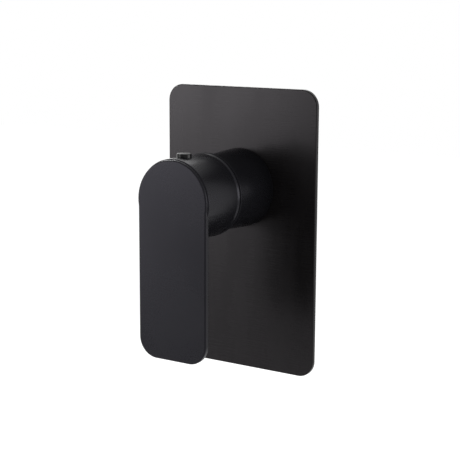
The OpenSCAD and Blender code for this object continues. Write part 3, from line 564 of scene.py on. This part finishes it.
def makeBody(size):
    bm = mergedCopy("valve_body")
    top = size["back"] + size["footThick"]
    footRims = [e for e in bm.edges if e.is_convex and e.calc_face_angle(0) > 1.2 and (
        all(abs(v.co.z - size["back"]) < 0.01 for v in e.verts)
        or all(abs(v.co.z - top) < 0.01 and max(abs(v.co.x), abs(v.co.y)) > 24 for v in e.verts))]
    softenEdges(bm, footRims, size["footEase"], 3)
    body = asObject("bodyCasting", bm)
    for turn, axis, reach in ((90, "Y", "inletReach"), (-90, "Y", "inletReach"), (-90, "X", "outletReach")):
        place = Matrix.Translation((0, 0, size["portAxis"])) @ Matrix.Rotation(math.radians(turn), 4, axis)
        groove = threadTool(size)
        bmesh.ops.transform(groove, matrix=place @ Matrix.Translation((0, 0, size[reach] - size["threadDeep"] + 1)),
                            verts=groove.verts)
        carve(body, asObject("thread", groove), "DIFFERENCE")
        mouth = bmesh.new()
        bmesh.ops.create_cone(mouth, cap_ends=True, segments=96, radius1=size["root"] - size["countersink"],
                              radius2=size["root"] + size["countersink"], depth=2 * size["countersink"],
                              matrix=place @ Matrix.Translation((0, 0, size[reach] + 0.2)))
        carve(body, asObject("mouth", mouth), "DIFFERENCE")
    finishPiece(body, castBrass, "base", "valve_body", sharpDeg=30)


makeBody(bodySize)
finishPiece(asObject("leverSpindle", mergedCopy("lever")), turnedBrass, "handle", "lever", sharpDeg=30)


# Studio: white world to the camera and in reflections, soft light on the object, pale floor below

def makeWorld(softLight):
    world = bpy.data.worlds.new("studio")
    bpy.context.scene.world = world
    world.use_nodes = True
    tree = world.node_tree
    tree.nodes.clear()
    path = tree.nodes.new("ShaderNodeLightPath")
    seen = tree.nodes.new("ShaderNodeMath")
    seen.operation = "MAXIMUM"
    link(tree, path.outputs["Is Camera Ray"], seen.inputs[0])
    link(tree, path.outputs["Is Glossy Ray"], seen.inputs[1])
    through = tree.nodes.new("ShaderNodeMath")
    through.operation = "MAXIMUM"
    link(tree, seen.outputs[0], through.inputs[0])
    link(tree, path.outputs["Is Transmission Ray"], through.inputs[1])
    soft = tree.nodes.new("ShaderNodeBackground")
    soft.inputs["Strength"].default_value = softLight
    white = tree.nodes.new("ShaderNodeBackground")
    for background in (soft, white):
        background.inputs["Color"].default_value = (1, 1, 1, 1)
    pick = tree.nodes.new("ShaderNodeMixShader")
    link(tree, through.outputs[0], pick.inputs[0])
    link(tree, soft.outputs[0], pick.inputs[1])
    link(tree, white.outputs[0], pick.inputs[2])
    link(tree, pick.outputs[0], tree.nodes.new("ShaderNodeOutputWorld").inputs["Surface"])


def makeFloor(height, half, lift):
    bm = bmesh.new()
    bmesh.ops.create_grid(bm, x_segments=1, y_segments=1, size=half,
                          matrix=Matrix.Translation((0, 0, height)))
    floor = asObject("floor", bm)
    material, tree, shader = newMaterial("paleFloor")
    shader.inputs["Base Color"].default_value = (0.82, 0.82, 0.82, 1)
    shader.inputs["Roughness"].default_value = 0.9
    path = tree.nodes.new("ShaderNodeLightPath")
    seen = tree.nodes.new("ShaderNodeMath")
    seen.operation = "MAXIMUM"
    link(tree, path.outputs["Is Camera Ray"], seen.inputs[0])
    link(tree, path.outputs["Is Glossy Ray"], seen.inputs[1])
    strength = tree.nodes.new("ShaderNodeMath")
    strength.operation = "MULTIPLY"
    strength.inputs[1].default_value = lift
    link(tree, seen.outputs[0], strength.inputs[0])
    shader.inputs["Emission Color"].default_value = (1, 1, 1, 1)
    link(tree, strength.outputs[0], shader.inputs["Emission Strength"])
    floor.data.materials.append(material)


# each soft box: direction seen from the mixer in degrees, distance and size in metres, radiance
lamps = {
    "keySoftbox": {"turn": -39.5, "rise": 3, "away": 1.3, "size": (0.5, 0.25), "level": 11, "colour": (1, 1, 1)},
    "keyUpper": {"turn": -28.5, "rise": 14, "away": 1.3, "size": (0.5, 0.25), "level": 5.7, "colour": (1, 1, 1)},
    "keyLower": {"turn": -43, "rise": -10, "away": 1.3, "size": (0.25, 0.25), "level": 5, "colour": (1, 1, 1)},
    "rimSoftbox": {"turn": 120, "rise": 4, "away": 1.3, "size": (0.5, 0.5), "level": 4.2, "colour": (1, 1, 1)},
    "sideSoftbox": {"turn": 100, "rise": 6, "away": 1.3, "size": (0.4, 0.8), "level": 4.6, "colour": (1, 1, 1)},
    "topSoftbox": {"turn": -150, "rise": 35, "away": 1.3, "size": (0.5, 0.5), "level": 2.2, "colour": (1, 1, 1)},
    "backSoftbox": {"turn": -134, "rise": 28, "away": 1.3, "size": (0.4, 0.4), "level": 10, "colour": (1, 1, 1)},
}


def makeLamps(rig, aim):
    for name, say in rig.items():
        turn, rise = math.radians(say["turn"]), math.radians(say["rise"])
        toward = Vector((math.sin(turn) * math.cos(rise), -math.cos(turn) * math.cos(rise), math.sin(rise)))
        data = bpy.data.lights.new(name, "AREA")
        data.shape = "RECTANGLE"
        data.size, data.size_y = say["size"]
        data.energy = say["level"] * math.pi * data.size * data.size_y  # watts of that radiance
        data.color = say["colour"]
        lamp = bpy.data.objects.new(name, data)
        lamp.location = Vector(aim) + toward * say["away"]
        lamp.rotation_euler = (-toward).to_track_quat("-Z", "Y").to_euler()
        bpy.context.scene.collection.objects.link(lamp)


cameraSetup = {"azimuth": 33.21, "elevation": 10.412, "roll": 0.266, "distance": 0.790556,
               "aim": (-0.009126, -0.027, -0.028999), "lens": 96.089}


def makeCamera(say):
    turn, rise, roll = (math.radians(say[key]) for key in ("azimuth", "elevation", "roll"))
    back = Vector((math.sin(turn) * math.cos(rise), -math.cos(turn) * math.cos(rise), math.sin(rise)))
    level = (-back).cross(Vector((0, 0, 1))).normalized()
    upright = level.cross(-back)
    right = level * math.cos(roll) + upright * math.sin(roll)
    up = upright * math.cos(roll) - level * math.sin(roll)
    data = bpy.data.cameras.new("photoCamera")
    data.lens, data.sensor_width, data.sensor_fit = say["lens"], 36, "AUTO"
    data.clip_start, data.clip_end = 0.05, 20
    camera = bpy.data.objects.new("photoCamera", data)
    camera.matrix_world = Matrix.Translation(Vector(say["aim"]) + back * say["distance"]) @ \
        Matrix((right, up, back)).transposed().to_4x4()
    bpy.context.scene.collection.objects.link(camera)
    bpy.context.scene.camera = camera


makeWorld(0.63)
makeFloor(-0.5, 4, 0.5)
makeLamps(lamps, (0, -0.06, -0.03))
makeCamera(cameraSetup)
bpy.context.scene.view_settings.view_transform = "Standard"
print("studio ready")
